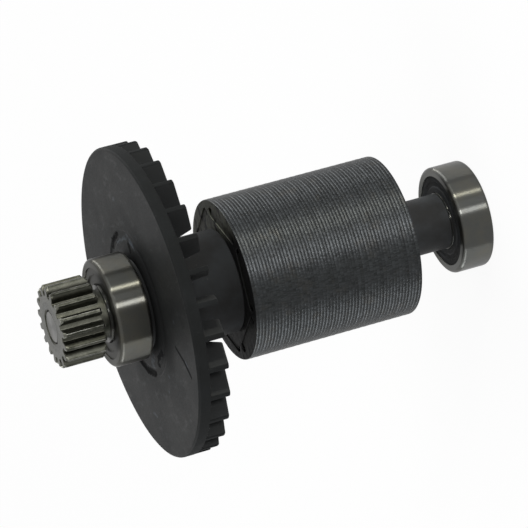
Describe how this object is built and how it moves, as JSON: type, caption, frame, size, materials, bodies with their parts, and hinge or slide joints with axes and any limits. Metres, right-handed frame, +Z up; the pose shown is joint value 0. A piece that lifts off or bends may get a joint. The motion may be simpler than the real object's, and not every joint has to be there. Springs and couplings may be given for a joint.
{
  "type": "motor armature",
  "caption": "Motor armature: a shaft with a spur drive pinion, shielded and sealed ball bearings, a bladed cooling fan and a laminated core with buried flat magnets.",
  "frame": {"origin": "on the shaft's axis, in the outer end face of the rear bearing, on which the part stands", "axes": "+Z up the shaft towards the pinion; +X and +Y square to it, with the picture's view from -Y"},
  "size_m": [0.046, 0.046, 0.0663],
  "materials": {
    "shaft_steel": "ground steel",
    "pinion_steel": "hardened steel, dark and oiled",
    "black_plastic": "satin moulded",
    "core_steel": "stacked sheet edges, dull",
    "magnet_coating": "plated, dull",
    "bearing_steel": "ground and polished",
    "cage_steel": "pressed",
    "shield_steel": "pressed sheet",
    "seal_rubber": "moulded"
  },
  "bodies": {
    "rotor": {"shaft": "shaft_steel", "pinion": "pinion_steel", "fan": "black_plastic", "spacer_sleeve": "black_plastic", "lamination_stack": "core_steel", "rear_collar": "black_plastic", "magnet_1": "magnet_coating", "magnet_2": "magnet_coating", "magnet_3": "magnet_coating", "magnet_4": "magnet_coating", "magnet_5": "magnet_coating", "magnet_6": "magnet_coating", "front_bearing_inner_ring": "bearing_steel", "rear_bearing_inner_ring": "bearing_steel"},
    "front_outer": {"front_bearing_outer_ring": "bearing_steel", "front_bearing_lower_shield": "shield_steel", "front_bearing_upper_shield": "shield_steel"},
    "front_balls": {"front_bearing_cage": "cage_steel", "front_bearing_ball_1": "bearing_steel", "front_bearing_ball_2": "bearing_steel", "front_bearing_ball_3": "bearing_steel", "front_bearing_ball_4": "bearing_steel", "front_bearing_ball_5": "bearing_steel", "front_bearing_ball_6": "bearing_steel", "front_bearing_ball_7": "bearing_steel"},
    "rear_outer": {"rear_bearing_outer_ring": "bearing_steel", "rear_bearing_lower_seal": "seal_rubber", "rear_bearing_upper_seal": "seal_rubber"},
    "rear_balls": {"rear_bearing_cage": "cage_steel", "rear_bearing_ball_1": "bearing_steel", "rear_bearing_ball_2": "bearing_steel", "rear_bearing_ball_3": "bearing_steel", "rear_bearing_ball_4": "bearing_steel", "rear_bearing_ball_5": "bearing_steel", "rear_bearing_ball_6": "bearing_steel", "rear_bearing_ball_7": "bearing_steel"}
  },
  "joints": [
    {"name": "front_outer_spin", "type": "hinge", "parent": "rotor", "child": "front_outer", "pos_m": [0, 0, 0.0562], "axis": [0, 0, 1], "continuous": true},
    {"name": "front_balls_spin", "type": "hinge", "parent": "rotor", "child": "front_balls", "pos_m": [0, 0, 0.0562], "axis": [0, 0, 1], "continuous": true},
    {"name": "rear_outer_spin", "type": "hinge", "parent": "rotor", "child": "rear_outer", "pos_m": [0, 0, 0.0025], "axis": [0, 0, 1], "continuous": true},
    {"name": "rear_balls_spin", "type": "hinge", "parent": "rotor", "child": "rear_balls", "pos_m": [0, 0, 0.0025], "axis": [0, 0, 1], "continuous": true}
  ],
  "couplings": [
    {"joint": "front_balls_spin", "follows": "front_outer_spin", "ratio": 0.63356},
    {"joint": "rear_balls_spin", "follows": "rear_outer_spin", "ratio": 0.63356}
  ]
}
